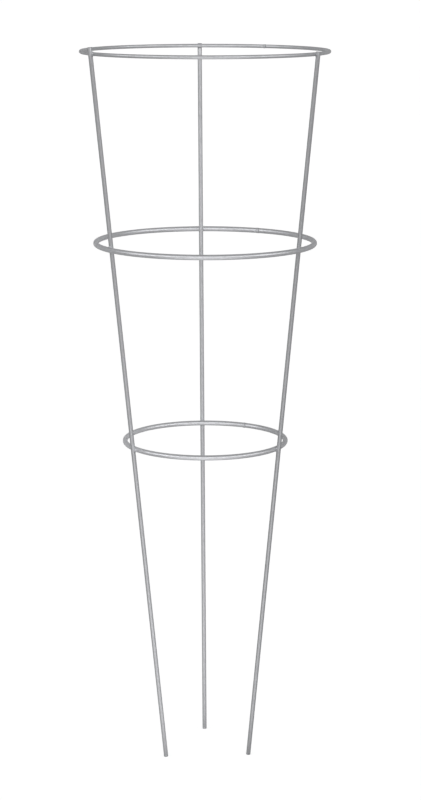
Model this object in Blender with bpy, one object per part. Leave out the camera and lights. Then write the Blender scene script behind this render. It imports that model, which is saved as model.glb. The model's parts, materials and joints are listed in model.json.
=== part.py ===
"""Welded wire cage that holds up a climbing plant.

Three straight legs lean outwards from the ground and carry three level hoops. At every crossing
both wires are pressed flat against each other, and a bead of weld metal closes the corner round
them. Each hoop is one wire bent round until its ends meet in a butt weld.

Metres, +Z up. The feet stand on the ground at Z = 0 and the cage's front faces -Y. Azimuths are
counted from the front towards +X.
"""

import math
from collections import namedtuple

import bmesh
import bpy
from mathutils import Matrix, Vector

# Wire diameters
LEG_WIRE = 0.0064
TOP_WIRE = 0.0054
MIDDLE_WIRE = 0.0077
LOWER_WIRE = 0.0075

# Heights of the hoops' centre lines above the ground
TOP_HEIGHT = 1.0555
MIDDLE_HEIGHT = 0.7781
LOWER_HEIGHT = 0.4815

# Distance from the cage's axis to the legs' centre lines, at the top hoop and at the ground
LEG_TOP_RADIUS = 0.1831
FOOT_RADIUS = 0.0754

# Azimuths of the legs, at the top hoop and at the ground: hand-set, so not quite 120 degrees apart
LEFT_TOP_AZIMUTH = math.radians(-61.4)
LEFT_FOOT_AZIMUTH = math.radians(-52.0)
RIGHT_TOP_AZIMUTH = math.radians(60.1)
RIGHT_FOOT_AZIMUTH = math.radians(59.8)
REAR_TOP_AZIMUTH = math.radians(182.7)
REAR_FOOT_AZIMUTH = math.radians(181.1)

# Height of the legs' cut ends above the top hoop's centre line
LEFT_PROUD = 0.0095
RIGHT_PROUD = 0.0034
REAR_PROUD = 0.0034
# Bevel on the rim of a cut end
END_BEVEL = 0.0004

# How far the weld presses two crossing wires into each other
SET_DOWN = 0.0018
# Clearance between any two pieces, and how far a flat seat runs on past the wire that lies in it
SEAT_GAP = 0.0003
SEAT_MARGIN = 0.0003

# Bead of a crossing weld: how far it reaches past each wire's flank, and its half height
WELD_REACH = 0.0021
WELD_CLIMB = 0.0029

# Butt weld of a hoop: distance between the wire's ends, rise of the upset bead, and place
JOINT_LENGTH = 0.0032
JOINT_UPSET = 0.0004
JOINT_AZIMUTH = math.radians(150.0)

# Facets
HOOP_STEPS = 96
HOOP_SIDES = 14
LEG_SIDES = 20
WELD_SEGMENTS = 24
WELD_RINGS = 12
JOINT_SIDES = 20
BEVEL_STEPS = 2

# Finish, as linear colour, roughness and metallic value
WIRE_FINISH = ((0.47, 0.48, 0.50), 0.42, 0.85)
WELD_FINISH = ((0.40, 0.41, 0.43), 0.55, 0.80)

# side is +1 for a hoop outside the legs and -1 for one inside them
Hoop = namedtuple("Hoop", "place height wire side")
Leg = namedtuple("Leg", "place node top_azimuth foot_azimuth proud")

HOOPS = (
    Hoop("top", TOP_HEIGHT, TOP_WIRE, -1),
    Hoop("middle", MIDDLE_HEIGHT, MIDDLE_WIRE, 1),
    Hoop("lower", LOWER_HEIGHT, LOWER_WIRE, -1),
)
LEGS = (
    Leg("left", "leg_front_left", LEFT_TOP_AZIMUTH, LEFT_FOOT_AZIMUTH, LEFT_PROUD),
    Leg("right", "leg_front_right", RIGHT_TOP_AZIMUTH, RIGHT_FOOT_AZIMUTH, RIGHT_PROUD),
    Leg("rear", "leg_rear", REAR_TOP_AZIMUTH, REAR_FOOT_AZIMUTH, REAR_PROUD),
)


# Geometry worked out from the sizes

def polar(radius, azimuth, height):
    """Point at a distance from the cage's axis, an azimuth and a height."""
    return Vector((radius * math.sin(azimuth), -radius * math.cos(azimuth), height))


def frame(origin, x_axis, z_axis):
    """Matrix of a frame with its Z along z_axis and its X as near x_axis as can be."""
    z = z_axis.normalized()
    y = z.cross(x_axis).normalized()
    return Matrix.Translation(origin) @ Matrix((y.cross(z), y, z)).transposed().to_4x4()


def leg_line(leg):
    """Foot end, top end and upward direction of a leg's centre line."""
    ground = polar(FOOT_RADIUS, leg.foot_azimuth, 0.0)
    top = polar(LEG_TOP_RADIUS, leg.top_azimuth, TOP_HEIGHT)
    up = (top - ground).normalized()
    lean = math.acos(up.z)
    rim_drop = (LEG_WIRE / 2 - END_BEVEL) * math.sin(lean)
    return ground + up * (rim_drop / up.z), top + up * (leg.proud / up.z), up


def hoop_radius(hoop):
    """Radius of a hoop's centre line, pressed against the legs where they pass its height."""
    slope = (LEG_TOP_RADIUS - FOOT_RADIUS) / TOP_HEIGHT
    legs_here = FOOT_RADIUS + slope * hoop.height
    wires_apart = LEG_WIRE / 2 + hoop.wire / 2 - SET_DOWN
    return legs_here + hoop.side * wires_apart * math.hypot(1.0, slope)


def crossing(leg, hoop):
    """Frame between the two wires, X along the hoop and Z towards the leg, and their overlap."""
    foot, _, up = leg_line(leg)
    on_leg = foot + up * ((hoop.height - foot.z) / up.z)
    azimuth = math.atan2(on_leg.x, -on_leg.y)
    on_hoop = polar(hoop_radius(hoop), azimuth, hoop.height)
    along_hoop = Vector((math.cos(azimuth), math.sin(azimuth), 0.0))
    normal = along_hoop.cross(up).normalized()
    if normal.dot(on_leg - on_hoop) < 0.0:
        normal.negate()
    overlap = LEG_WIRE / 2 + hoop.wire / 2 - normal.dot(on_leg - on_hoop)
    return frame(on_hoop + normal * (hoop.wire / 2 - overlap / 2), along_hoop, normal), overlap


def seat_half_length(wire, overlap):
    """Half length of the flat in which a wire lies clear of the other wire's round surface."""
    radius = wire / 2
    return math.sqrt(radius ** 2 - (radius - overlap - SEAT_GAP) ** 2) + SEAT_MARGIN


# Objects, materials and modifiers

def clear_scene():
    for old in list(bpy.data.objects):
        bpy.data.objects.remove(old, do_unlink=True)


def add_object(name, bm, parent, matrix=None):
    """Make an object of a bmesh, with its normals outward, and free the bmesh."""
    bmesh.ops.recalc_face_normals(bm, faces=bm.faces)
    mesh = bpy.data.meshes.new(name)
    bm.to_mesh(mesh)
    bm.free()
    obj = bpy.data.objects.new(name, mesh)
    bpy.context.scene.collection.objects.link(obj)
    obj.parent = parent
    if matrix is not None:
        obj.matrix_world = matrix
    return obj


def add_finish(obj, finish):
    colour, roughness, metallic = finish
    material = bpy.data.materials.new(obj.name + "_zinc")
    material.use_nodes = True
    shader = material.node_tree.nodes["Principled BSDF"]
    shader.inputs["Base Color"].default_value = (*colour, 1.0)
    shader.inputs["Roughness"].default_value = roughness
    shader.inputs["Metallic"].default_value = metallic
    material.diffuse_color = (*colour, 1.0)
    obj.data.materials.append(material)


def hide_cutter(obj):
    obj.hide_render = True
    obj.display_type = "WIRE"
    return obj


def cut(obj, cutter):
    boolean = obj.modifiers.new("cut_" + cutter.name, "BOOLEAN")
    boolean.operation = "DIFFERENCE"
    boolean.solver = "EXACT"
    boolean.object = cutter


def smooth(obj):
    for polygon in obj.data.polygons:
        polygon.use_smooth = True


# Wires

def straight_wire(radius, length, bevel):
    """Round rod along Z from the origin, its cut ends bevelled."""
    bm = bmesh.new()
    bmesh.ops.create_cone(
        bm, cap_ends=True, segments=LEG_SIDES, radius1=radius, radius2=radius, depth=length,
        matrix=Matrix.Translation((0.0, 0.0, length / 2)))
    if bevel > 0.0:
        rims = [edge for edge in bm.edges if abs(edge.verts[0].co.z - edge.verts[1].co.z) < bevel]
        bmesh.ops.bevel(bm, geom=rims, offset=bevel, segments=1, profile=0.5, affect="EDGES",
                        material=-1)
    return bm


def bent_wire(radius, hoop):
    """Wire bent round the axis at Z = 0, open by the length of its butt weld."""
    bend = hoop_radius(hoop)
    half_joint = JOINT_LENGTH / 2 / bend
    bm = bmesh.new()
    start = JOINT_AZIMUTH + half_joint
    section = frame(polar(bend, start, 0.0), Vector((0.0, 0.0, 1.0)),
                    Vector((math.cos(start), math.sin(start), 0.0)))
    bmesh.ops.create_circle(bm, cap_ends=True, segments=HOOP_SIDES, radius=radius, matrix=section)
    bmesh.ops.spin(
        bm, geom=bm.verts[:] + bm.edges[:] + bm.faces[:], cent=(0.0, 0.0, 0.0),
        axis=(0.0, 0.0, 1.0), angle=2 * math.pi - 2 * half_joint, steps=HOOP_STEPS,
        use_duplicate=False)
    return bm


def seat_cutters(name, spots, parent):
    """Boxes that press flats into a wire: each spot gives a frame, two half widths and a depth."""
    bm = bmesh.new()
    for matrix, half_x, half_y, depth in spots:
        top = math.copysign(SEAT_GAP / 2, -depth)
        size = Matrix.Diagonal((2 * half_x, 2 * half_y, abs(depth) + SEAT_GAP / 2, 1.0))
        middle = Matrix.Translation((0.0, 0.0, (top + depth) / 2))
        bmesh.ops.create_cube(bm, size=1.0, matrix=matrix @ middle @ size)
    return hide_cutter(add_object(name, bm, parent))


def add_leg(leg, parent):
    """Straight leg with a flat pressed into it at each hoop."""
    foot, end, up = leg_line(leg)
    outward = Vector((foot.x, foot.y, 0.0))
    place = frame(foot, outward, up)
    obj = add_object(leg.node, straight_wire(LEG_WIRE / 2, (end - foot).length, END_BEVEL),
                     parent, place)
    smooth(obj)
    add_finish(obj, WIRE_FINISH)
    spots = []
    for hoop in HOOPS:
        matrix, overlap = crossing(leg, hoop)
        spots.append((matrix, LEG_WIRE, seat_half_length(hoop.wire, overlap), -LEG_WIRE / 2))
    cut(obj, seat_cutters(leg.node + "_seats", spots, parent))
    return obj


def add_hoop(hoop, parent):
    """Hoop with a flat pressed into it at each leg."""
    obj = add_object("ring_" + hoop.place, bent_wire(hoop.wire / 2, hoop), parent,
                     Matrix.Translation((0.0, 0.0, hoop.height)))
    smooth(obj)
    add_finish(obj, WIRE_FINISH)
    spots = []
    for leg in LEGS:
        matrix, overlap = crossing(leg, hoop)
        spots.append((matrix, seat_half_length(LEG_WIRE, overlap), hoop.wire, hoop.wire / 2))
    cut(obj, seat_cutters(obj.name + "_seats", spots, parent))
    return obj


# Welds

def add_clearances(parent):
    """Hidden wires, thicker by the gap, that hollow the welds round the real ones."""
    clearances = {}
    for leg in LEGS:
        foot, end, up = leg_line(leg)
        thick = straight_wire(LEG_WIRE / 2 + SEAT_GAP, (end - foot).length + WELD_REACH, 0.0)
        place = frame(foot, Vector((foot.x, foot.y, 0.0)), up)
        clearances[leg.place] = hide_cutter(add_object(leg.node + "_clearance", thick, parent, place))
    for hoop in HOOPS:
        thick = bent_wire(hoop.wire / 2 + SEAT_GAP, hoop)
        place = Matrix.Translation((0.0, 0.0, hoop.height))
        name = "ring_" + hoop.place + "_clearance"
        clearances[hoop.place] = hide_cutter(add_object(name, thick, parent, place))
    return clearances


def add_weld(leg, hoop, clearances, parent):
    """Bead round a crossing, hollowed by both wires and ending with the leg."""
    matrix, _ = crossing(leg, hoop)
    along_hoop = LEG_WIRE / 2 + WELD_REACH
    along_leg = hoop.wire / 2 + WELD_REACH
    bm = bmesh.new()
    bmesh.ops.create_uvsphere(
        bm, u_segments=WELD_SEGMENTS, v_segments=WELD_RINGS, radius=1.0,
        matrix=Matrix.Diagonal((along_hoop, along_leg, WELD_CLIMB, 1.0)))
    _, end, up = leg_line(leg)
    to_weld = matrix.inverted()
    trimmed = bmesh.ops.bisect_plane(
        bm, geom=bm.verts[:] + bm.edges[:] + bm.faces[:],
        plane_co=to_weld @ (end - up * END_BEVEL), plane_no=to_weld.to_3x3() @ up,
        clear_outer=True)
    rim = [item for item in trimmed["geom_cut"] if isinstance(item, bmesh.types.BMEdge)]
    if rim:
        bmesh.ops.edgeloop_fill(bm, edges=rim)
    obj = add_object("weld_" + hoop.place + "_" + leg.place, bm, parent, matrix)
    smooth(obj)
    add_finish(obj, WELD_FINISH)
    cut(obj, clearances[leg.place])
    cut(obj, clearances[hoop.place])
    return obj


def add_butt_weld(hoop, parent):
    """Upset bead between the two ends of a hoop's wire."""
    length = JOINT_LENGTH - 2 * SEAT_GAP
    radius = hoop.wire / 2 + JOINT_UPSET
    bm = bmesh.new()
    bmesh.ops.create_cone(bm, cap_ends=True, segments=JOINT_SIDES, radius1=radius, radius2=radius,
                          depth=length)
    rims = [edge for edge in bm.edges if abs(edge.verts[0].co.z - edge.verts[1].co.z) < length / 2]
    bmesh.ops.bevel(bm, geom=rims, offset=length / 4, segments=BEVEL_STEPS, profile=0.5,
                    affect="EDGES", material=-1)
    along_hoop = Vector((math.cos(JOINT_AZIMUTH), math.sin(JOINT_AZIMUTH), 0.0))
    place = frame(polar(hoop_radius(hoop), JOINT_AZIMUTH, hoop.height), Vector((0.0, 0.0, 1.0)),
                  along_hoop)
    obj = add_object("butt_weld_" + hoop.place, bm, parent, place)
    smooth(obj)
    add_finish(obj, WELD_FINISH)
    return obj


def centre_cage(axis, pieces):
    """Move the cage's axis so that the middle of its footprint lies over the origin."""
    bpy.context.view_layer.update()
    corners = [obj.matrix_world @ vertex.co for obj in pieces for vertex in obj.data.vertices]
    for index in range(2):
        values = [corner[index] for corner in corners]
        axis.location[index] = -(min(values) + max(values)) / 2


def main():
    clear_scene()
    axis = bpy.data.objects.new("cage_axis", None)
    bpy.context.scene.collection.objects.link(axis)
    pieces = [add_leg(leg, axis) for leg in LEGS]
    pieces += [add_hoop(hoop, axis) for hoop in HOOPS]
    clearances = add_clearances(axis)
    for hoop in HOOPS:
        pieces += [add_weld(leg, hoop, clearances, axis) for leg in LEGS]
        pieces.append(add_butt_weld(hoop, axis))
    centre_cage(axis, pieces)


main()
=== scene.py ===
"""Galvanised wire cage for a climbing plant, in a pale studio.

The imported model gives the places: every hoop's circle is read from its CAD node, and every leg's
line from the record's foot mount. The pieces made here stand for those nodes with rounder wire,
sheared ends, weld fillets and a zinc coat. Metres, +Z up, front facing -Y.
"""

import json
import math
import random
from collections import namedtuple

import bmesh
import bpy
from bpy.props import FloatProperty, FloatVectorProperty, IntProperty, PointerProperty
from mathutils import Matrix, Vector, noise


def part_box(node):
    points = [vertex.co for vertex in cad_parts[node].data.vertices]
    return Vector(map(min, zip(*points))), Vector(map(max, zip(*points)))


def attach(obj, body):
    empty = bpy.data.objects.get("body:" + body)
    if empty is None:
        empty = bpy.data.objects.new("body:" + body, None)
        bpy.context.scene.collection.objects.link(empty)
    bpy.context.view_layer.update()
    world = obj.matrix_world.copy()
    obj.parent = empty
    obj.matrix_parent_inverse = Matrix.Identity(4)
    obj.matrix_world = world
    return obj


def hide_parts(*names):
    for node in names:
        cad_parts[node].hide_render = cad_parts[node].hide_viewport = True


bl_info = {
    "name": "Welded wire plant cage",
    "version": (1, 0, 0),
    "blender": (4, 5, 0),
    "location": "View3D > Sidebar > Plant cage",
    "description": "Galvanised three-legged wire cage with three hoops, and a pale studio for it",
    "category": "Add Mesh",
}

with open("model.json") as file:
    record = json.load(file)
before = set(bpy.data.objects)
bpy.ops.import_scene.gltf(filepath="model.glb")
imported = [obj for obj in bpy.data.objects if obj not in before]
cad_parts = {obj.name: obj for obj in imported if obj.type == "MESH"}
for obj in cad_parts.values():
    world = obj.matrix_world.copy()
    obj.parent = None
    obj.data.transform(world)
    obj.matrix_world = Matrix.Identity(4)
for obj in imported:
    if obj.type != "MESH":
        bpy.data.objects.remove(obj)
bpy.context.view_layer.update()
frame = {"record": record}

# Names of the places, as in the CAD nodes
LEG_NODES = {"left": "leg_front_left", "right": "leg_front_right", "rear": "leg_rear"}
HOOP_PLACES = ("top", "middle", "lower")

Leg = namedtuple("Leg", "place node foot up length")
Hoop = namedtuple("Hoop", "place node centre radius wire")

UP = Vector((0.0, 0.0, 1.0))

# How far apart the wires lie in the finish's pattern, so that no two look alike
PATTERN_STEP = 3.0
# What a bump of 1 in the zinc stands for
RELIEF_DEPTH = 0.00012
# Tones of a sheared face beside the dull zinc, and of a weld's darker spots beside its colour
SHEARED_TONE = 0.72
SPOTTED_TONE = 0.88
# Points closer together than this are one point
MERGED = 1e-6


# Sizes, finishes and studio that a user would change

class CageSizes(bpy.types.PropertyGroup):
    leg_wire: FloatProperty(
        name="Leg wire", description="Diameter of the legs' wire",
        default=0.0064, unit="LENGTH")
    top_wire: FloatProperty(
        name="Top hoop wire", description="Diameter of the top hoop's wire",
        default=0.0054, unit="LENGTH")
    middle_wire: FloatProperty(
        name="Middle hoop wire", description="Diameter of the middle hoop's wire",
        default=0.0077, unit="LENGTH")
    lower_wire: FloatProperty(
        name="Lower hoop wire", description="Diameter of the lower hoop's wire",
        default=0.0075, unit="LENGTH")
    cut_rim: FloatProperty(
        name="Cut rim", description="Radius left on the rim of a sheared wire end",
        default=0.0005, unit="LENGTH")
    weld_reach: FloatProperty(
        name="Weld reach", description="How far weld metal spreads past the wires where they cross",
        default=0.0016, unit="LENGTH")
    weld_grain: FloatProperty(
        name="Weld grain", description="Fineness at which the weld's skin is drawn",
        default=0.00022, unit="LENGTH")
    joint_angle: FloatProperty(
        name="Butt weld azimuth",
        description="Where a hoop's two ends meet, counted from the front",
        default=math.radians(150.0), subtype="ANGLE")
    joint_length: FloatProperty(
        name="Butt weld length",
        description="Distance along the hoop that the butt weld's bead covers",
        default=0.0052, unit="LENGTH")
    joint_upset: FloatProperty(
        name="Butt weld rise", description="How far the butt weld's bead stands out of the wire",
        default=0.0003, unit="LENGTH")
    wire_sides: IntProperty(
        name="Wire sides", description="Facets round a wire", default=40, min=12)
    hoop_steps: IntProperty(
        name="Hoop steps", description="Facets along a hoop", default=288, min=48)


class CageFinish(bpy.types.PropertyGroup):
    zinc: FloatVectorProperty(
        name="Zinc", description="Colour of the galvanised wire",
        subtype="COLOR", default=(0.58, 0.585, 0.604), min=0.0, max=1.0)
    zinc_dull: FloatVectorProperty(
        name="Dull zinc", description="Colour of the wire where its zinc has weathered",
        subtype="COLOR", default=(0.493, 0.498, 0.514), min=0.0, max=1.0)
    weld: FloatVectorProperty(
        name="Weld", description="Colour of the weld metal under its zinc",
        subtype="COLOR", default=(0.551, 0.556, 0.573), min=0.0, max=1.0)
    # Painted shade: each leg's zinc is drawn darker than its colour, by how little light falls on
    # it, the right leg most
    leg_painted_shades: FloatVectorProperty(
        name="Legs' tones", min=0.0, max=2.0, default=(0.945, 0.825, 0.965),
        description="How bright the zinc is on the left, right and rear leg, beside its colour")
    # Painted light: each hoop's zinc is drawn brighter than its colour, more on the lower hoops
    hoop_painted_lights: FloatVectorProperty(
        name="Hoops' tones", min=0.0, max=2.0, default=(1.09, 1.155, 1.18),
        description="How bright the zinc is on the top, middle and lower hoop, beside its colour")
    # Painted light and shade: each leg is drawn darker towards its top and lighter towards its foot
    leg_painted_top_shades: FloatVectorProperty(
        name="Legs' fading", min=-1.0, max=1.0, default=(0.10, 0.02, 0.12),
        description="Share of its brightness that each leg loses from its middle to its top")
    # Painted light: the middle and lower hoops are drawn brighter towards their left end, as if lit
    # from the left
    hoop_painted_left_lights: FloatVectorProperty(
        name="Hoops' gain", min=-1.0, max=1.0, default=(0.0, 0.10, 0.30),
        description="Share of its brightness that each hoop gains from its middle to its left end")
    metal: FloatProperty(
        name="Metal", description="How metallic the zinc coat is",
        default=0.80, min=0.0, max=1.0)
    roughness: FloatProperty(
        name="Roughness", description="Mean roughness of the zinc coat",
        default=0.42, min=0.0, max=1.0)


class CageStudio(bpy.types.PropertyGroup):
    paper: FloatVectorProperty(
        name="Paper", description="Colour of the floor and backdrop, before its glow",
        subtype="COLOR", default=(0.35, 0.35, 0.35), min=0.0, max=1.0)
    paper_white: FloatProperty(
        name="Paper white", description="Glow that the camera sees on top of the lit floor",
        default=0.805, min=0.0, max=1.0)
    wall_white: FloatProperty(
        name="Wall white",
        description="Glow that the camera sees on top where the paper has swept up into a wall",
        default=0.722, min=0.0, max=1.0)
    paper_glow: FloatProperty(
        name="Paper glow", description="Glow that the metal sees all over the paper",
        default=0.20, min=0.0, max=1.0)
    pool_glow: FloatProperty(
        name="Pool glow", description="Glow that the metal sees besides, in a pool before the cage",
        default=0.80, min=0.0, max=1.0)
    pool_near: FloatProperty(
        name="Pool's near end",
        description="How far before the cage's middle the pool begins to fade towards it",
        default=0.25, unit="LENGTH")
    pool_far: FloatProperty(
        name="Pool's far end", description="How far before the cage the pool ends",
        default=2.4, unit="LENGTH")
    pool_side: FloatProperty(
        name="Pool's sides", description="How far beside the cage the pool ends",
        default=1.1, unit="LENGTH")
    pool_flare: FloatProperty(
        name="Pool's flare", description="How fast the pool widens away from the cage",
        default=0.8, min=0.0, max=4.0)
    ambient: FloatProperty(
        name="Ambient", description="Light from all round", default=0.35, min=0.0, max=2.0)
    panels: FloatProperty(
        name="Panels", description="Light from the arc of soft panels in front of the cage",
        default=2.00, min=0.0, max=6.0)
    camera_distance: FloatProperty(
        name="Camera distance", description="Distance from the cage's middle, along the ground",
        default=3.2349, unit="LENGTH")
    camera_height: FloatProperty(
        name="Camera height", description="Height of the camera", default=1.2062, unit="LENGTH")
    camera_side: FloatProperty(
        name="Camera side", description="How far the camera stands to the right",
        default=0.00783, unit="LENGTH")
    camera_pitch: FloatProperty(
        name="Camera pitch", description="How far the camera looks down",
        default=math.radians(11.608), subtype="ANGLE")
    camera_lens: FloatProperty(
        name="Camera lens", description="Focal length in millimetres", default=99.81)


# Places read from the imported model

def read_legs(sizes):
    """Centre line of each leg: its foot from the record, its length from its node's top."""
    mounts = {mount["name"]: mount for mount in frame["record"]["mounts"]}
    legs = []
    for place, node in LEG_NODES.items():
        mount = mounts["foot_" + place]
        foot = Vector(mount["pos_m"])
        up = -Vector(mount["axis"]).normalized()
        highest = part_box(node)[1].z
        rim_rise = (sizes.leg_wire / 2 - sizes.cut_rim) * math.hypot(up.x, up.y)
        legs.append(Leg(place, node, foot, up, (highest - rim_rise - foot.z) / up.z))
    return legs


def read_hoops(sizes):
    """Circle of each hoop's centre line, from the widest part of its node."""
    wires = {"top": sizes.top_wire, "middle": sizes.middle_wire, "lower": sizes.lower_wire}
    hoops = []
    for place in HOOP_PLACES:
        node = "ring_" + place
        low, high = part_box(node)
        outer = (high.x - low.x) / 2
        centre = Vector(((low.x + high.x) / 2, low.y + outer, (low.z + high.z) / 2))
        hoops.append(Hoop(place, node, centre, outer - wires[place] / 2, wires[place]))
    return hoops


def axes_frame(origin, x_axis, z_axis):
    """Matrix of a frame at origin with its Z along z_axis and its X as near x_axis as can be."""
    z = z_axis.normalized()
    y = z.cross(x_axis).normalized()
    return Matrix.Translation(origin) @ Matrix((y.cross(z), y, z)).transposed().to_4x4()


def outward(azimuth):
    """Direction away from the cage's middle, at an azimuth counted from the front."""
    return Vector((math.sin(azimuth), -math.cos(azimuth), 0.0))


def forward(azimuth):
    """Direction along a hoop, towards growing azimuth."""
    return Vector((math.cos(azimuth), math.sin(azimuth), 0.0))


def painted_light_on_leg(finish, leg, place):
    """Painted light and shade on a leg at a place on it: how bright its zinc is drawn there, beside
    the zinc's colour, darker towards its top.
    """
    number = list(LEG_NODES).index(leg.place)
    risen = 2.0 * (place - leg.foot).dot(leg.up) / leg.length - 1.0
    return finish.leg_painted_shades[number] * (1.0 - finish.leg_painted_top_shades[number] * risen)


def painted_light_on_hoop(finish, hoop, place):
    """Painted light on a hoop at a place on it: how bright its zinc is drawn there, beside the
    zinc's colour, lighter towards its left end.
    """
    number = HOOP_PLACES.index(hoop.place)
    left = max(0.0, hoop.centre.x - place.x) / hoop.radius
    return finish.hoop_painted_lights[number] * (1.0 + finish.hoop_painted_left_lights[number] * left ** 2)


# Shader nodes written as expressions

class Signal:
    """An output socket that adds, multiplies and subtracts as a number does."""

    def __init__(self, nodes, socket):
        self.nodes = nodes
        self.socket = socket

    def math(self, operation, first, second=None):
        inputs = {0: first} if second is None else {0: first, 1: second}
        return self.nodes.add("ShaderNodeMath", {"operation": operation}, inputs)

    def __add__(self, other):
        return self.math("ADD", self, other)

    def __radd__(self, other):
        return self.math("ADD", other, self)

    def __sub__(self, other):
        return self.math("SUBTRACT", self, other)

    def __rsub__(self, other):
        return self.math("SUBTRACT", other, self)

    def __mul__(self, other):
        return self.math("MULTIPLY", self, other)

    def __rmul__(self, other):
        return self.math("MULTIPLY", other, self)

    def __abs__(self):
        return self.math("ABSOLUTE", self)

    def between(self, low, high):
        """0 below low, 1 above high and smooth between them."""
        settings = {"interpolation_type": "SMOOTHSTEP"}
        return self.nodes.add("ShaderNodeMapRange", settings, {"Value": self, "From Min": low,
                                                               "From Max": high})


class FinishNodes:
    """Nodes of one material, or of the world."""

    def __init__(self, owner, shader="Principled BSDF"):
        owner.use_nodes = True
        self.tree = owner.node_tree
        self.shader = self.tree.nodes[shader]

    def add(self, kind, settings=None, inputs=None, output=0):
        """A new node of that kind. Its settings are set before its sockets are filled."""
        node = self.tree.nodes.new(kind)
        for name, value in (settings or {}).items():
            setattr(node, name, value)
        for name, value in (inputs or {}).items():
            self.fill(node.inputs[name], value)
        return Signal(self, node.outputs[output])

    def fill(self, socket, value):
        if isinstance(value, Signal):
            self.tree.links.new(value.socket, socket)
        else:
            socket.default_value = value

    def attribute(self, name, output):
        """What the mesh notes under a name, as a number or a vector."""
        return self.add("ShaderNodeAttribute", {"attribute_name": name}, {}, output)

    def stretched(self, position, amounts):
        """Positions times a size along each axis, so that a pattern is drawn out along the wire."""
        return self.add("ShaderNodeVectorMath", {"operation": "MULTIPLY"},
                        {0: position, 1: amounts})

    def frayed(self, position, scale, amount):
        """Positions pushed about by up to amount, so that an edge drawn with them is ragged."""
        push = self.add("ShaderNodeTexNoise", {"noise_dimensions": "3D"},
                        {"Vector": position, "Scale": scale, "Detail": 2.0}, "Color")
        return self.add("ShaderNodeVectorMath", {"operation": "MULTIPLY_ADD"},
                        {0: push, 1: (amount, amount, amount), 2: position})

    def clouds(self, position, scale, detail=3.0, rough=0.55):
        """Noise from 0 to 1."""
        return self.add("ShaderNodeTexNoise", {"noise_dimensions": "3D"},
                        {"Vector": position, "Scale": scale, "Detail": detail, "Roughness": rough})

    def crystals(self, position, scale):
        """A number from 0 to 1 for each crystal."""
        colour = self.add("ShaderNodeTexVoronoi", {"feature": "F1"},
                          {"Vector": position, "Scale": scale}, "Color")
        return self.add("ShaderNodeSeparateColor", {}, {"Color": colour})

    def part(self, position, axis):
        """One coordinate of a position."""
        return self.add("ShaderNodeSeparateXYZ", {}, {"Vector": position}, axis)

    def seen_by(self, rays):
        """1 for rays of this kind, and 0 for all others."""
        return self.add("ShaderNodeLightPath", {}, {}, f"Is {rays} Ray")

    def blend(self, share, first, second):
        """Colour between two colours."""
        return self.add("ShaderNodeMix", {"data_type": "RGBA"},
                        {"Factor": share, 6: first, 7: second}, 2)

    def with_painted_light(self, colour):
        """A colour made as bright as the tone noted on the mesh, which holds painted light and
        shade.
        """
        return self.add("ShaderNodeVectorMath", {"operation": "SCALE"},
                        {0: colour, "Scale": self.attribute("tone", "Fac")})

    def relief(self, height):
        """Bumps as high as the relief's depth where height is 1."""
        return self.add("ShaderNodeBump", {},
                        {"Height": height, "Distance": RELIEF_DEPTH, "Strength": 1.0})

    def finish(self, **inputs):
        """Fill the shader's own sockets, with spaces in their names written as underscores."""
        for name, value in inputs.items():
            self.fill(self.shader.inputs[name.replace("_", " ")], value)


def rgba(colour, tone=1.0):
    """A colour with its alpha, as bright as tone says beside the colour given."""
    return (*(tone * value for value in colour), 1.0)


def zinc_coat(context):
    """Galvanised drawn wire: feathered crystals, die lines and a duller bloom in patches."""
    name = "zinc_on_wire"
    if name in bpy.data.materials:
        return bpy.data.materials[name]
    finish = context.scene.cage_finish
    material = bpy.data.materials.new(name)
    nodes = FinishNodes(material)
    along = nodes.attribute("straightened", "Vector")
    ragged = nodes.frayed(along, scale=1400.0, amount=0.0011)
    spangle = nodes.crystals(nodes.stretched(ragged, (1.0, 1.0, 0.55)), scale=480.0)
    lengthwise = nodes.clouds(nodes.stretched(along, (1.0, 1.0, 0.12)), scale=5200.0, detail=2.0)
    crosswise = nodes.clouds(nodes.stretched(along, (0.25, 0.25, 1.0)), scale=4600.0, detail=2.0)
    turned = spangle.between(0.45, 0.55)
    feathers = lengthwise * turned + crosswise * (1.0 - turned)
    frost = nodes.clouds(along, scale=1500.0, detail=4.0, rough=0.6)
    grain = nodes.clouds(along, scale=7000.0, detail=2.0, rough=0.6)
    bloom = nodes.clouds(nodes.stretched(along, (1.0, 1.0, 0.35)), scale=90.0, detail=4.0)
    die_lines = nodes.clouds(nodes.stretched(along, (1.0, 1.0, 0.012)), scale=4200.0, detail=2.0)
    pooled = nodes.clouds(nodes.stretched(along, (1.0, 1.0, 0.25)), scale=210.0, detail=2.0)
    shear_marks = nodes.clouds(nodes.stretched(along, (0.1, 1.0, 1.0)), scale=6500.0, detail=3.0)
    cut = nodes.attribute("cut_face", "Fac")
    dull = (bloom * 0.8 + frost * 0.3 + spangle * 0.3 + feathers * 0.3 - 0.35).between(0.15, 0.95)
    coat = nodes.blend(dull, rgba(finish.zinc), rgba(finish.zinc_dull))
    sheared = rgba(finish.zinc_dull, SHEARED_TONE)
    # The base colour carries the painted light and shade noted on each piece as its tone
    nodes.finish(
        Base_Color=nodes.with_painted_light(nodes.blend(cut * 0.75, coat, sheared)),
        Metallic=finish.metal,
        Roughness=(finish.roughness - 0.15) + dull * 0.14 + spangle * 0.05 + feathers * 0.08
        + frost * 0.05 + cut * 0.12,
        Normal=nodes.relief(
            pooled * 0.5 + frost * 0.12 + feathers * 0.06 + grain * 0.05
            + die_lines * 0.12 * (1.0 - cut) + shear_marks * cut * 0.6))
    return material


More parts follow.
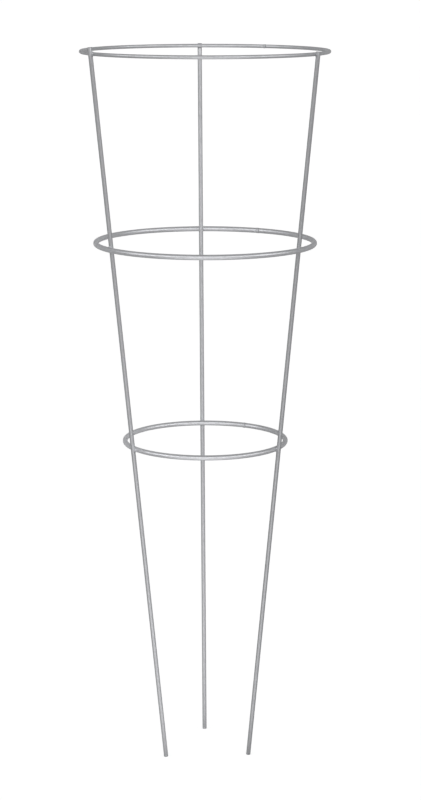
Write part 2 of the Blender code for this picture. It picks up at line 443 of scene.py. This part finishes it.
def weld_coat(context):
    """Zinc over weld metal, coarser and darker than on the wire, and the wire's own coat at its
    edge."""
    name = "zinc_on_weld"
    if name in bpy.data.materials:
        return bpy.data.materials[name]
    finish = context.scene.cage_finish
    material = bpy.data.materials.new(name)
    nodes = FinishNodes(material)
    place = nodes.add("ShaderNodeTexCoord", {}, {}, "Object")
    metal = nodes.attribute("weld_metal", "Fac")
    frost = nodes.clouds(place, scale=1500.0, detail=4.0, rough=0.6)
    beads = nodes.clouds(place, scale=520.0, detail=3.0, rough=0.6)
    bloom = nodes.clouds(place, scale=90.0, detail=4.0)
    dull = (bloom * 0.9 + frost * 0.35 - 0.10).between(0.15, 0.95)
    wire = nodes.blend(dull, rgba(finish.zinc), rgba(finish.zinc_dull))
    spotted = rgba(finish.weld, SPOTTED_TONE)
    bead = nodes.blend(beads.between(0.3, 0.7), rgba(finish.weld), spotted)
    # The base colour carries the painted light and shade noted on each piece as its tone
    nodes.finish(
        Base_Color=nodes.with_painted_light(nodes.blend(metal, wire, bead)),
        Metallic=finish.metal,
        Roughness=(finish.roughness - 0.10) + dull * 0.14 + metal * 0.10 + frost * 0.05,
        Normal=nodes.relief(beads * metal * 1.6 + frost * 0.10))
    return material


# Making finished pieces

def finish_piece(mesh, material, replaced, painted_light_at):
    """A piece that stands for CAD nodes, takes the material given and rides on the cage.
    The function given last notes the painted light and shade at each of its points, as its tone."""
    for polygon in mesh.polygons:
        polygon.use_smooth = True
    # Painted light and shade, noted on every point as its tone
    tone = mesh.attributes.new("tone", "FLOAT", "POINT")
    for vert in mesh.vertices:
        tone.data[vert.index].value = painted_light_at(vert.co)
    mesh.materials.append(material)
    piece = bpy.data.objects.new(mesh.name, mesh)
    bpy.context.scene.collection.objects.link(piece)
    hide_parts(*replaced)
    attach(piece, "root")
    return piece


def mesh_from(bm, name):
    """The bmesh's mesh, with its doubles merged and its faces turned outwards."""
    bmesh.ops.remove_doubles(bm, verts=bm.verts[:], dist=MERGED)
    bmesh.ops.recalc_face_normals(bm, faces=bm.faces[:])
    mesh = bpy.data.meshes.new(name)
    bm.to_mesh(mesh)
    bm.free()
    return mesh


def sweep_wire(bm, sides, wire, bend, centre, start, turn, steps):
    """A wire's round section swept about an upright line through centre, and both ends closed.
    bend is the radius of its centre line, and start and turn are angles counted from +X."""
    place = (Matrix.Translation(centre) @ Matrix.Rotation(start, 4, "Z")
             @ Matrix.Translation((bend, 0.0, 0.0)) @ Matrix.Rotation(math.pi / 2, 4, "X"))
    section = bmesh.ops.create_circle(bm, cap_ends=False, segments=sides, radius=wire / 2,
                                      matrix=place)
    edges = list(dict.fromkeys(edge for vert in section["verts"] for edge in vert.link_edges))
    bmesh.ops.spin(bm, geom=section["verts"] + edges, cent=centre, axis=UP, angle=turn,
                   steps=steps, use_merge=False)
    ends = [edge for edge in bm.edges if edge.is_boundary]
    bmesh.ops.holes_fill(bm, edges=ends, sides=0)


class CAGE_OT_legs(bpy.types.Operator):
    """Three straight drawn wires, sheared off at the ground and above the top hoop"""
    bl_idname = "cage.legs"
    bl_label = "Legs"

    # Cuts across a leg along its length
    CUTS = 52
    # A sheared face's steps from its rim inwards: their width in radii, and how high each one is
    STEP_WIDTH = 0.25
    STEPS = (-0.00004, 0.00005)
    # How much of the rim's rounding looks sheared too, in from the end and out from the face
    SHEARED_IN = 0.4
    SHEARED_OUT = 0.6

    def execute(self, context):
        sizes = context.scene.cage_sizes
        finish = context.scene.cage_finish
        coat = zinc_coat(context)
        for number, leg in enumerate(read_legs(sizes)):
            bm = bmesh.new()
            self.wire(bm, sizes, leg)
            self.mark(bm, sizes, leg, number)
            bmesh.ops.transform(bm, matrix=axes_frame(leg.foot, outward(0.0), leg.up),
                                verts=bm.verts[:])
            mesh = mesh_from(bm, leg.node + "_drawn_wire")
            finish_piece(mesh, coat, [leg.node],
                         lambda place: painted_light_on_leg(finish, leg, place))
        return {"FINISHED"}

    def wire(self, bm, sizes, leg):
        """A round bar from 0 to its length along Z, its rims rounded and its cuts uneven."""
        radius = sizes.leg_wire / 2
        bmesh.ops.create_cone(bm, cap_ends=True, cap_tris=False, segments=sizes.wire_sides,
                              radius1=radius, radius2=radius, depth=leg.length)
        bmesh.ops.translate(bm, vec=UP * leg.length / 2, verts=bm.verts[:])
        rims = [edge for edge in bm.edges if len({round(v.co.z, 4) for v in edge.verts}) == 1]
        bmesh.ops.bevel(bm, geom=rims, offset=sizes.cut_rim, segments=4, profile=0.5,
                        affect="EDGES", material=-1)
        long_edges = [edge for edge in bm.edges if edge.calc_length() > leg.length / 2]
        bmesh.ops.subdivide_edges(bm, edges=long_edges, cuts=self.CUTS)
        for cap in [face for face in bm.faces if len(face.verts) > 4]:
            for step in self.STEPS:
                bmesh.ops.inset_region(bm, faces=[cap], thickness=self.STEP_WIDTH * radius,
                                       depth=step)
            bmesh.ops.poke(bm, faces=[cap])

    def mark(self, bm, sizes, leg, number):
        """Note each point's place along the straight wire, and which points lie on a cut."""
        straightened = bm.verts.layers.float_vector.new("straightened")
        cut_face = bm.verts.layers.float.new("cut_face")
        apart = UP * PATTERN_STEP * number
        deepest = self.SHEARED_IN * sizes.cut_rim
        widest = sizes.leg_wire / 2 - sizes.cut_rim + self.SHEARED_OUT * sizes.cut_rim
        for vert in bm.verts:
            vert[straightened] = vert.co + apart
            on_end = min(vert.co.z, leg.length - vert.co.z) < deepest
            vert[cut_face] = float(on_end and vert.co.xy.length < widest)


class CAGE_OT_hoops(bpy.types.Operator):
    """Three wires bent round until their ends almost meet"""
    bl_idname = "cage.hoops"
    bl_label = "Hoops"

    # Half of the gap between a hoop's ends, beside the length of the bead that covers it
    HALF_GAP = 0.3
    # A hair of a turn, so that a hoop's first section lies at its start and not past its end
    HAIR_TURN = 1e-5

    def execute(self, context):
        sizes = context.scene.cage_sizes
        finish = context.scene.cage_finish
        coat = zinc_coat(context)
        for number, hoop in enumerate(read_hoops(sizes)):
            bm = bmesh.new()
            half_gap = self.HALF_GAP * sizes.joint_length / hoop.radius
            start = sizes.joint_angle - math.pi / 2 + half_gap
            sweep_wire(bm, sizes.wire_sides, hoop.wire, hoop.radius, (0.0, 0.0, 0.0), start,
                       math.tau - 2 * half_gap, sizes.hoop_steps)
            self.mark(bm, hoop, start, number)
            bmesh.ops.translate(bm, vec=hoop.centre, verts=bm.verts[:])
            mesh = mesh_from(bm, hoop.node + "_bent_wire")
            finish_piece(mesh, coat, [hoop.node],
                         lambda place: painted_light_on_hoop(finish, hoop, place))
        return {"FINISHED"}

    def mark(self, bm, hoop, start, number):
        """Note where each point lay along the wire before it was bent."""
        straightened = bm.verts.layers.float_vector.new("straightened")
        for vert in bm.verts:
            turned = (math.atan2(vert.co.y, vert.co.x) - start + self.HAIR_TURN) % math.tau
            across = vert.co.xy.length - hoop.radius
            along = turned * hoop.radius - PATTERN_STEP * (number + 1)
            vert[straightened] = (across, vert.co.z, along)


class CAGE_OT_butt_welds(bpy.types.Operator):
    """The bead that joins each hoop's two ends: two upset lips with a crease between them"""
    bl_idname = "cage.butt_welds"
    bl_label = "Butt welds"

    # Place along the bead in half lengths, and rise out of the wire in shares of the upset
    PROFILE = ((-1.00, -0.90), (-0.86, -0.10), (-0.66, 0.45), (-0.44, 0.92), (-0.26, 1.00),
               (-0.12, 0.66), (0.00, 0.42), (0.12, 0.62), (0.26, 0.96), (0.44, 0.88),
               (0.66, 0.40), (0.86, -0.10), (1.00, -0.90))
    # How close together the bead's lumps lie, how high they are, and how they differ by hoop
    LUMP_CLOSENESS = 900.0
    LUMP_HEIGHT = 0.00008
    LUMP_CHANGE = 50.0
    # Profiles round the wire
    TURNS = 48

    def execute(self, context):
        sizes = context.scene.cage_sizes
        finish = context.scene.cage_finish
        coat = weld_coat(context)
        for hoop in read_hoops(sizes):
            bm = bmesh.new()
            self.bead(bm, sizes, hoop)
            self.mark(bm, sizes)
            self.roughen(bm, hoop)
            ends_meet = hoop.centre + outward(sizes.joint_angle) * hoop.radius
            bmesh.ops.transform(bm, verts=bm.verts[:], matrix=axes_frame(
                ends_meet, outward(sizes.joint_angle), forward(sizes.joint_angle)))
            mesh = mesh_from(bm, f"butt_weld_{hoop.place}_upset_bead")
            finish_piece(mesh, coat, ["butt_weld_" + hoop.place],
                         lambda place: painted_light_on_hoop(finish, hoop, place))
        return {"FINISHED"}

    def bead(self, bm, sizes, hoop):
        """A profile spun about the wire's own line, which runs along Z here."""
        half = sizes.joint_length / 2
        chain = [bm.verts.new((0.0, 0.0, -half))]
        for place, rise in self.PROFILE:
            out = hoop.wire / 2 + rise * sizes.joint_upset
            chain.append(bm.verts.new((out, 0.0, place * half)))
        chain.append(bm.verts.new((0.0, 0.0, half)))
        edges = [bm.edges.new(pair) for pair in zip(chain, chain[1:])]
        bmesh.ops.spin(bm, geom=chain + edges, cent=(0.0, 0.0, 0.0), axis=UP,
                       angle=math.tau, steps=self.TURNS, use_merge=True)
        bmesh.ops.remove_doubles(bm, verts=bm.verts[:], dist=MERGED)

    def mark(self, bm, sizes):
        """Note how much of each point is weld metal, from all at the crease to none at the ends."""
        metal = bm.verts.layers.float.new("weld_metal")
        half = sizes.joint_length / 2
        for vert in bm.verts:
            vert[metal] = 1.0 - min(1.0, abs(vert.co.z) / half) ** 3

    def roughen(self, bm, hoop):
        """Low lumps all over the bead."""
        for vert in bm.verts:
            lump = noise.noise(vert.co * self.LUMP_CLOSENESS + hoop.centre * self.LUMP_CHANGE)
            off_axis = Vector((vert.co.x, vert.co.y, 0.0)).normalized()
            vert.co += off_axis * lump * self.LUMP_HEIGHT


class CAGE_OT_crossing_welds(bpy.types.Operator):
    """The weld metal that closes the corners where a leg and a hoop are pressed together"""
    bl_idname = "cage.crossing_welds"
    bl_label = "Crossing welds"

    # How far a stub of wire reaches past the other wire, in weld reaches, and how far its end
    # stays below a leg's cut end, beside the rim's rounding
    STUB_REACH = 2.6
    BELOW_CUT = 0.6
    # How much less a stub's radius is than its wire's
    HAIR = 0.00003
    # Lumps of weld metal round the contact, how far they stray from an even round, in radians,
    # and across the contact, and their smallest and largest radius, in weld reaches
    LUMPS = 14
    STRAY_ROUND = 0.15
    STRAY_ACROSS = 0.1
    LUMP_SIZES = (0.55, 0.95)
    # How far out the lumps lie, beside the wires' radii
    TUCK = 0.98

    def execute(self, context):
        sizes = context.scene.cage_sizes
        coat = weld_coat(context)
        legs = read_legs(sizes)
        for hoop in read_hoops(sizes):
            for leg in legs:
                self.weld(context, sizes, leg, hoop, coat)
        return {"FINISHED"}

    def weld(self, context, sizes, leg, hoop, coat):
        """Stubs of both wires and lumps of weld metal, fused into one skin and smoothed."""
        finish = context.scene.cage_finish
        name = f"weld_{hoop.place}_{leg.place}"
        on_leg = leg.foot + leg.up * ((hoop.centre.z - leg.foot.z) / leg.up.z)
        radial = Vector((on_leg.x - hoop.centre.x, on_leg.y - hoop.centre.y, 0.0)).normalized()
        on_hoop = hoop.centre + radial * hoop.radius
        along = Vector((-radial.y, radial.x, 0.0))
        away = along.cross(leg.up).normalized()
        if away.dot(on_leg - on_hoop) < 0.0:
            away.negate()
        overlap = sizes.leg_wire / 2 + hoop.wire / 2 - away.dot(on_leg - on_hoop)
        contact = axes_frame(on_hoop + away * (hoop.wire / 2 - overlap / 2), along, away)
        bm = bmesh.new()
        self.leg_stub(bm, sizes, leg, hoop, on_leg)
        self.hoop_stub(bm, sizes, hoop, radial)
        self.lumps(bm, sizes, hoop, contact, name)
        mesh = self.fuse(context, sizes, bm, name)
        self.mark(mesh, contact.translation, hoop)
        finish_piece(mesh, coat, [name],
                     lambda place: self.tone(finish, sizes, leg, hoop, place))

    def tone(self, finish, sizes, leg, hoop, place):
        """The leg's painted light and shade where the weld meets the leg, the hoop's at the hoop,
        and between them in the fillet."""
        off_leg = abs((place - leg.foot).cross(leg.up).length - sizes.leg_wire / 2)
        beside = place - hoop.centre
        off_hoop = abs(math.hypot(beside.xy.length - hoop.radius, beside.z) - hoop.wire / 2)
        share = off_leg / max(off_leg + off_hoop, 1e-9)
        at_leg = painted_light_on_leg(finish, leg, place)
        return at_leg + (painted_light_on_hoop(finish, hoop, place) - at_leg) * share

    def leg_stub(self, bm, sizes, leg, hoop, on_leg):
        """A short length of the leg, a hair thinner than it, that stops short of its cut end."""
        reach = hoop.wire / 2 + self.STUB_REACH * sizes.weld_reach
        centre = (on_leg - leg.foot).dot(leg.up)
        top = min(centre + reach, leg.length - self.BELOW_CUT * sizes.cut_rim)
        bottom = centre - reach
        radius = sizes.leg_wire / 2 - self.HAIR
        place = axes_frame(leg.foot + leg.up * (top + bottom) / 2, outward(0.0), leg.up)
        bmesh.ops.create_cone(bm, cap_ends=True, cap_tris=False, segments=sizes.wire_sides,
                              radius1=radius, radius2=radius, depth=top - bottom, matrix=place)

    def hoop_stub(self, bm, sizes, hoop, radial):
        """A short arc of the hoop, a hair thinner than it."""
        half_turn = (sizes.leg_wire / 2 + self.STUB_REACH * sizes.weld_reach) / hoop.radius
        start = math.atan2(radial.y, radial.x) - half_turn
        sweep_wire(bm, sizes.wire_sides, hoop.wire - 2 * self.HAIR, hoop.radius, hoop.centre,
                   start, 2 * half_turn, steps=12)

    def lumps(self, bm, sizes, hoop, contact, name):
        """Weld metal squeezed out round the contact, more in some corners than in others."""
        chance = random.Random(name)
        across = self.TUCK * sizes.leg_wire / 2
        up = self.TUCK * hoop.wire / 2
        for step in range(self.LUMPS):
            stray = chance.uniform(-self.STRAY_ROUND, self.STRAY_ROUND)
            angle = step * math.tau / self.LUMPS + stray
            size = sizes.weld_reach * chance.uniform(*self.LUMP_SIZES)
            off = sizes.weld_reach * chance.uniform(-self.STRAY_ACROSS, self.STRAY_ACROSS)
            spot = Vector((math.cos(angle) * across, math.sin(angle) * up, off))
            bmesh.ops.create_icosphere(bm, subdivisions=2, radius=size,
                                       matrix=contact @ Matrix.Translation(spot))

    def fuse(self, context, sizes, bm, name):
        """One closed skin round everything in the bmesh."""
        bmesh.ops.recalc_face_normals(bm, faces=bm.faces[:])
        loose = bpy.data.meshes.new(name + "_loose")
        bm.to_mesh(loose)
        bm.free()
        stand_in = bpy.data.objects.new(name + "_loose", loose)
        context.scene.collection.objects.link(stand_in)
        skin = stand_in.modifiers.new("skin", "REMESH")
        skin.mode = "VOXEL"
        skin.voxel_size = sizes.weld_grain
        skin.adaptivity = 0.0
        even = stand_in.modifiers.new("even", "SMOOTH")
        even.factor = 0.5
        even.iterations = 14
        context.view_layer.update()
        fused = bpy.data.meshes.new_from_object(
            stand_in.evaluated_get(context.evaluated_depsgraph_get()))
        bpy.data.objects.remove(stand_in)
        bpy.data.meshes.remove(loose)
        fused.name = name + "_fillet"
        return fused

    def mark(self, mesh, centre, hoop):
        """Note how much of each point is weld metal, for the finish."""
        metal = mesh.attributes.new("weld_metal", "FLOAT", "POINT")
        near, far = 0.45 * hoop.wire, 1.15 * hoop.wire
        for vert in mesh.vertices:
            share = 1.0 - ((vert.co - centre).length - near) / (far - near)
            metal.data[vert.index].value = min(1.0, max(0.0, share))


class CAGE_OT_studio(bpy.types.Operator):
    """Pale floor and backdrop, soft panels of light in front and the camera"""
    bl_idname = "cage.studio"
    bl_label = "Studio"

    def execute(self, context):
        studio = context.scene.cage_studio
        self.floor(context, studio)
        self.world(context, studio)
        self.camera(context, studio)
        context.scene.view_settings.view_transform = "Standard"
        return {"FINISHED"}

    def floor(self, context, studio):
        """A pale floor that sweeps up into a backdrop behind the cage."""
        bm = bmesh.new()
        width, depth, behind, bend, wall = 24.0, 14.0, 7.0, 1.5, 2.5
        near = bm.verts.new((-width / 2, -depth, 0.0))
        far = bm.verts.new((-width / 2, behind, 0.0))
        bm.edges.new((near, far))
        curve = bmesh.ops.spin(bm, geom=[far], cent=(0.0, behind, bend), axis=(1.0, 0.0, 0.0),
                               angle=math.pi / 2, steps=24, use_merge=False)
        top = [item for item in curve["geom_last"] if isinstance(item, bmesh.types.BMVert)]
        upper = bmesh.ops.extrude_vert_indiv(bm, verts=top)
        bmesh.ops.translate(bm, vec=UP * wall, verts=upper["verts"])
        swept = bmesh.ops.extrude_edge_only(bm, edges=bm.edges[:])
        sheet = [item for item in swept["geom"] if isinstance(item, bmesh.types.BMVert)]
        bmesh.ops.translate(bm, vec=(width, 0.0, 0.0), verts=sheet)
        mesh = mesh_from(bm, "paper_sweep")
        for polygon in mesh.polygons:
            polygon.use_smooth = True
        paper = bpy.data.objects.new(mesh.name, mesh)
        mesh.materials.append(self.paper(studio))
        context.scene.collection.objects.link(paper)

    def paper(self, studio):
        """Matt paper. To the camera it glows up to white. The metal sees a glow in it too, weak all
        over and strong in a pool before the cage. No glow lights anything."""
        material = bpy.data.materials.new("studio_paper")
        nodes = FinishNodes(material)
        place = nodes.add("ShaderNodeTexCoord", {}, {}, "Object")
        across, deep, high = (nodes.part(place, axis) for axis in "XYZ")
        # How softly the pool ends all round and along its slanting sides, and how high the paper
        # has swept up where the camera sees it as a wall
        soft, slanting, wall_height = 0.2, 0.25, 0.4
        beside = 1.0 - abs(across).between(studio.pool_side - soft, studio.pool_side + soft)
        flared = 1.0 - (abs(across) + deep * studio.pool_flare).between(0.0, slanting)
        near = 1.0 - deep.between(-studio.pool_near, 0.0)
        far = deep.between(-studio.pool_far - soft, -studio.pool_far + soft)
        glow = beside * flared * near * far * studio.pool_glow + studio.paper_glow
        swept_up = high.between(0.0, wall_height)
        white = studio.paper_white + (studio.wall_white - studio.paper_white) * swept_up
        in_camera = nodes.seen_by("Camera")
        # A glossy ray sees it in the metal, and a transmission ray would see it through glass
        in_metal = (nodes.seen_by("Glossy") + nodes.seen_by("Transmission")).between(0.0, 1.0)
        nodes.finish(Base_Color=rgba(studio.paper), Roughness=0.9, Specular_IOR_Level=0.0,
                     Emission_Color=(1.0, 1.0, 1.0, 1.0),
                     Emission_Strength=in_camera * white + in_metal * glow)
        return material

    def world(self, context, studio):
        """An arc of soft panels of light in front and beside, a little above the horizon. The
        camera itself sees white."""
        world = bpy.data.worlds.new("studio_air")
        nodes = FinishNodes(world, "Background")
        place = nodes.add("ShaderNodeTexCoord", {}, {}, "Generated")
        deep = nodes.part(place, "Y")
        high = nodes.part(place, "Z")
        above_low_edge = high.between(0.07, 0.17)
        above_top_edge = high.between(0.38, 0.66)
        behind = deep.between(-0.1, 0.1)
        arc = above_low_edge * (1.0 - above_top_edge) * (1.0 - behind)
        light = arc * studio.panels + studio.ambient
        in_camera = nodes.seen_by("Camera")
        nodes.finish(Color=(1.0, 1.0, 1.0, 1.0),
                     Strength=light * (1.0 - in_camera) + in_camera)
        context.scene.world = world

    def camera(self, context, studio):
        """The camera, level from side to side and looking down at the cage from its front."""
        view = bpy.data.cameras.new("studio_camera")
        view.lens = studio.camera_lens
        view.sensor_width = 36.0
        camera = bpy.data.objects.new("studio_camera", view)
        context.scene.collection.objects.link(camera)
        camera.location = (studio.camera_side, -studio.camera_distance, studio.camera_height)
        camera.rotation_euler = (math.pi / 2 - studio.camera_pitch, 0.0, 0.0)
        context.scene.camera = camera


class CAGE_PT_panel(bpy.types.Panel):
    """Lists the cage's pieces, its sizes and its finish"""
    bl_idname = "CAGE_PT_panel"
    bl_label = "Plant cage"
    bl_space_type = "VIEW_3D"
    bl_region_type = "UI"
    bl_category = "Plant cage"

    def draw(self, context):
        layout = self.layout
        for piece in PIECES:
            layout.operator(piece.bl_idname)
        for group in (context.scene.cage_sizes, context.scene.cage_finish,
                      context.scene.cage_studio):
            column = layout.column(align=True)
            for name in group.__annotations__:
                column.prop(group, name)


PIECES = (CAGE_OT_legs, CAGE_OT_hoops, CAGE_OT_crossing_welds, CAGE_OT_butt_welds, CAGE_OT_studio)
GROUPS = (CageSizes, CageFinish, CageStudio)


def register():
    for cls in GROUPS + PIECES + (CAGE_PT_panel,):
        bpy.utils.register_class(cls)
    bpy.types.Scene.cage_sizes = PointerProperty(type=CageSizes)
    bpy.types.Scene.cage_finish = PointerProperty(type=CageFinish)
    bpy.types.Scene.cage_studio = PointerProperty(type=CageStudio)


def unregister():
    del bpy.types.Scene.cage_studio
    del bpy.types.Scene.cage_finish
    del bpy.types.Scene.cage_sizes
    for cls in reversed(GROUPS + PIECES + (CAGE_PT_panel,)):
        bpy.utils.unregister_class(cls)


def main():
    register()
    bpy.ops.cage.legs()
    bpy.ops.cage.hoops()
    bpy.ops.cage.crossing_welds()
    bpy.ops.cage.butt_welds()
    bpy.ops.cage.studio()


if __name__ == "__main__":
    main()
